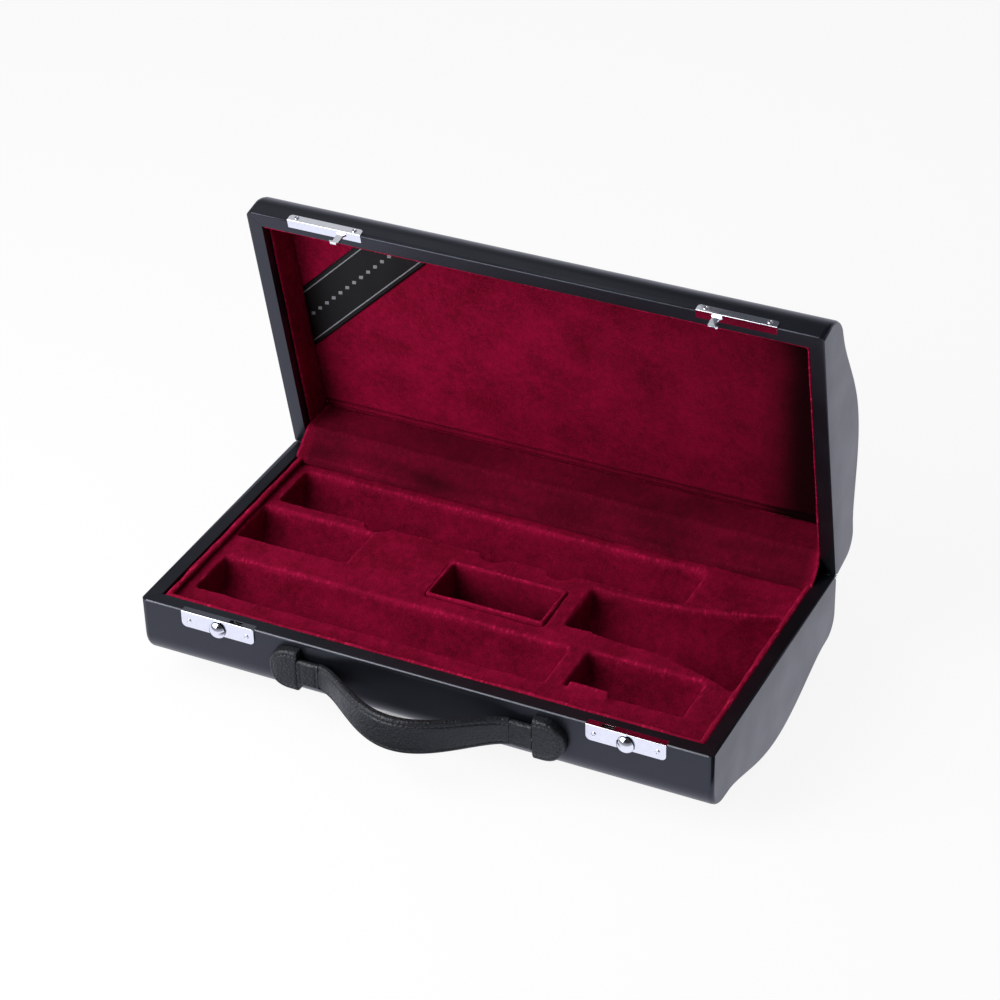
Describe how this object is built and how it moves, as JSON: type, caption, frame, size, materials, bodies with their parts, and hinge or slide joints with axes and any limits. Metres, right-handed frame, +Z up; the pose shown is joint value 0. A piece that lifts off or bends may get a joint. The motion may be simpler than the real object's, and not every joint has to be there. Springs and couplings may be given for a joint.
{
  "type": "instrument case",
  "caption": "Hard case with a bowed back, a velvet insert cut for a woodwind set, two sliding latches, a hinged lid and a bowed handle.",
  "frame": {"origin": "the middle of the open case's footprint, on the surface that its feet stand on", "axes": "+X along the case's length to the right, +Y from the handle's side to the hinges, +Z up"},
  "size_m": [0.36, 0.2514, 0.2443],
  "materials": {
    "leathercloth": "satin",
    "handle_leather": "satin",
    "velvet": "matte",
    "satin_ribbon": "satin",
    "plywood": "matte",
    "foam": "matte",
    "rubber": "matte",
    "chrome": "polished",
    "steel": "satin"
  },
  "bodies": {
    "base": {"base_wrap": "leathercloth", "base_rim_ends": "leathercloth", "base_end_covers": "leathercloth", "handle_pad_left": "handle_leather", "handle_pad_right": "handle_leather", "insert_block": "velvet", "insert_piping": "velvet", "accessory_box": "velvet", "hinge_apron": "velvet", "base_end_boards": "plywood", "base_front_board": "plywood", "base_rear_board": "plywood", "base_bottom_board": "plywood", "feet": "rubber", "base_latch_plate_left": "chrome", "base_latch_plate_right": "chrome", "base_latch_rivets": "chrome", "foot_screws": "steel", "latch_housing_left": "steel", "latch_housing_right": "steel", "latch_spring_left": "steel", "latch_spring_right": "steel", "handle_anchors": "steel", "handle_anchor_rivets": "steel", "hinge_base_leaves": "steel", "hinge_pins": "steel", "hinge_base_screws": "steel"},
    "lid": {"lid_wrap": "leathercloth", "lid_rim_ends": "leathercloth", "lid_end_covers": "leathercloth", "lid_panel": "velvet", "lid_wall_lining": "velvet", "lid_end_boards": "plywood", "lid_front_board": "plywood", "lid_rear_board": "plywood", "lid_top_board": "plywood", "lid_foam": "foam", "lid_latch_plate_left": "chrome", "lid_latch_plate_right": "chrome", "lid_latch_rivets": "chrome", "lid_hook_left": "chrome", "lid_hook_right": "chrome", "corner_ribbon": "satin_ribbon", "hinge_lid_leaves": "steel", "hinge_lid_screws": "steel"},
    "latch_left": {"latch_slide_left": "steel", "thumb_disc_left": "chrome"},
    "latch_right": {"latch_slide_right": "steel", "thumb_disc_right": "chrome"},
    "handle": {"handle_grip": "handle_leather", "handle_straps": "handle_leather", "handle_trunnions": "steel"}
  },
  "joints": [
    {"name": "lid_hinge", "type": "hinge", "parent": "base", "child": "lid", "pos_m": [0, 0.09499, 0.0598], "axis": [-1, 0, 0], "range_deg": [-78.4, 12], "deforming": ["hinge_apron"]},
    {"name": "latch_slide_left_travel", "type": "slide", "parent": "base", "child": "latch_left", "axis": [-1, 0, 0], "range_m": [0, 0.003], "stiffness_N_per_m": 300, "springref_m": -0.003, "deforming": ["latch_spring_left"]},
    {"name": "latch_slide_right_travel", "type": "slide", "parent": "base", "child": "latch_right", "axis": [1, 0, 0], "range_m": [0, 0.003], "stiffness_N_per_m": 300, "springref_m": -0.003, "deforming": ["latch_spring_right"]},
    {"name": "handle_swing", "type": "hinge", "parent": "base", "child": "handle", "pos_m": [0, -0.09396, 0.0421], "axis": [1, 0, 0], "range_deg": [-15, 15]}
  ]
}
